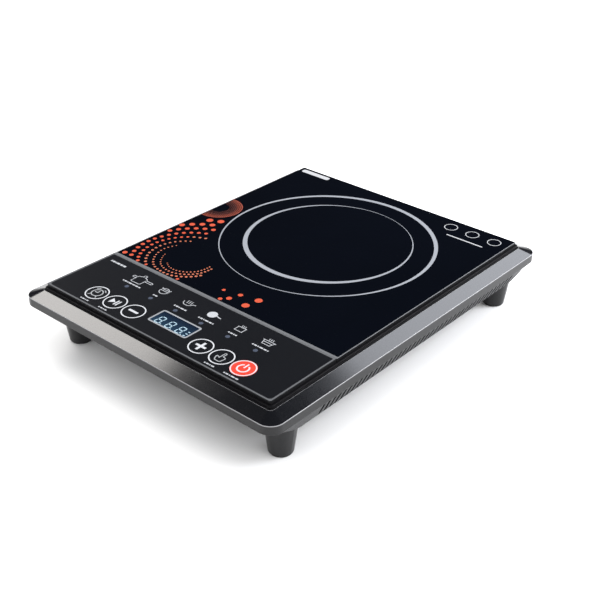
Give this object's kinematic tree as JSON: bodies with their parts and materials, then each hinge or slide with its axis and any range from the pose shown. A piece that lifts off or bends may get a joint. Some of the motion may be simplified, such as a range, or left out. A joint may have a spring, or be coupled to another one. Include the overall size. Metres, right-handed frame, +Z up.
{
  "type": "induction cooktop",
  "caption": "Portable single-zone induction cooktop: square glass plate, front control panel with round keys, sloping rim, vented lower housing on tapered legs.",
  "frame": {"origin": "on the worktop, under the middle of the rim", "axes": "+X to the right, +Y to the back (the control panel faces -Y), +Z up"},
  "size_m": [0.28, 0.355, 0.06],
  "materials": {
    "aluminium": "extruded",
    "black_glass": "polished",
    "brass": "bright",
    "bronze": "sintered bronze",
    "capacitor_blue": "sleeve",
    "capacitor_yellow": "film box",
    "component_black": "moulded",
    "component_white": "moulded",
    "copper": "enamelled copper wire",
    "display_blue": "tinted window",
    "ferrite": "sintered",
    "foot_rubber": "matt",
    "fuse_glass": "clear",
    "gloss_black": "high gloss",
    "grained_black": "fine grain",
    "green_board": "lacquered",
    "key_red": "satin",
    "lamp_red": "clear lamp",
    "lamp_spot": "translucent",
    "lead_red": "silicone sleeve",
    "mica": "pressed mica",
    "overlay_film": "satin film",
    "ribbon_grey": "flat cable",
    "satin_black": "satin",
    "silicone": "soft",
    "steel": "bright steel",
    "tan_board": "bare laminate"
  },
  "bodies": {
    "body": {"top_housing": "gloss_black", "bottom_housing": "grained_black", "glass_plate": "black_glass", "glass_seal": "silicone", "control_overlay": "overlay_film", "display_lens": "display_blue", "lamp_windows": "lamp_spot", "mode_lamps": "lamp_red", "display_module": "component_white", "control_board": "green_board", "switch_bodies": "component_black", "ribbon_cable": "ribbon_grey", "ribbon_headers": "component_white", "main_board": "tan_board", "heatsink": "aluminium", "power_transistor": "component_black", "bridge_rectifier": "component_black", "filter_capacitor": "capacitor_yellow", "resonant_capacitor": "capacitor_yellow", "choke_core": "ferrite", "choke_winding": "copper", "standby_transformer": "capacitor_yellow", "electrolytic_capacitors": "capacitor_blue", "line_fuse": "fuse_glass", "buzzer": "component_black", "coil_terminals": "brass", "coil_leads": "lead_red", "coil_former": "component_white", "induction_coil": "copper", "ferrite_bars": "ferrite", "mica_sheet": "mica", "sensor_cap": "silicone", "thermistor": "component_black", "fan_frame": "component_black", "fan_bearing": "bronze", "fan_stator": "copper", "legs": "satin_black", "foot_pads": "foot_rubber", "housing_screws": "steel", "board_screws": "steel", "coil_screws": "steel", "fan_screws": "steel", "heatsink_screws": "steel", "cord_gland": "foot_rubber"},
    "timer_button": {"timer_key": "overlay_film", "timer_plunger": "component_black"},
    "pause_button": {"pause_key": "overlay_film", "pause_plunger": "component_black"},
    "minus_button": {"minus_key": "overlay_film", "minus_plunger": "component_black"},
    "plus_button": {"plus_key": "overlay_film", "plus_plunger": "component_black"},
    "menu_button": {"menu_key": "overlay_film", "menu_plunger": "component_black"},
    "power_button": {"power_key": "key_red", "power_plunger": "component_black"},
    "rotor": {"fan_rotor": "component_black", "fan_magnet": "ferrite", "fan_shaft": "steel"}
  },
  "joints": [
    {"name": "timer_press", "type": "slide", "parent": "body", "child": "timer_button", "axis": [0, 0, -1], "range_m": [0, 0.0005], "stiffness_N_per_m": 400, "springref_m": -0.001},
    {"name": "pause_press", "type": "slide", "parent": "body", "child": "pause_button", "axis": [0, 0, -1], "range_m": [0, 0.0005], "stiffness_N_per_m": 400, "springref_m": -0.001},
    {"name": "minus_press", "type": "slide", "parent": "body", "child": "minus_button", "axis": [0, 0, -1], "range_m": [0, 0.0005], "stiffness_N_per_m": 400, "springref_m": -0.001},
    {"name": "plus_press", "type": "slide", "parent": "body", "child": "plus_button", "axis": [0, 0, -1], "range_m": [0, 0.0005], "stiffness_N_per_m": 400, "springref_m": -0.001},
    {"name": "menu_press", "type": "slide", "parent": "body", "child": "menu_button", "axis": [0, 0, -1], "range_m": [0, 0.0005], "stiffness_N_per_m": 400, "springref_m": -0.001},
    {"name": "power_press", "type": "slide", "parent": "body", "child": "power_button", "axis": [0, 0, -1], "range_m": [0, 0.0005], "stiffness_N_per_m": 400, "springref_m": -0.001},
    {"name": "fan_spin", "type": "hinge", "parent": "body", "child": "rotor", "pos_m": [0.03, 0.048, 0.02], "axis": [0, 0, 1], "continuous": true}
  ]
}
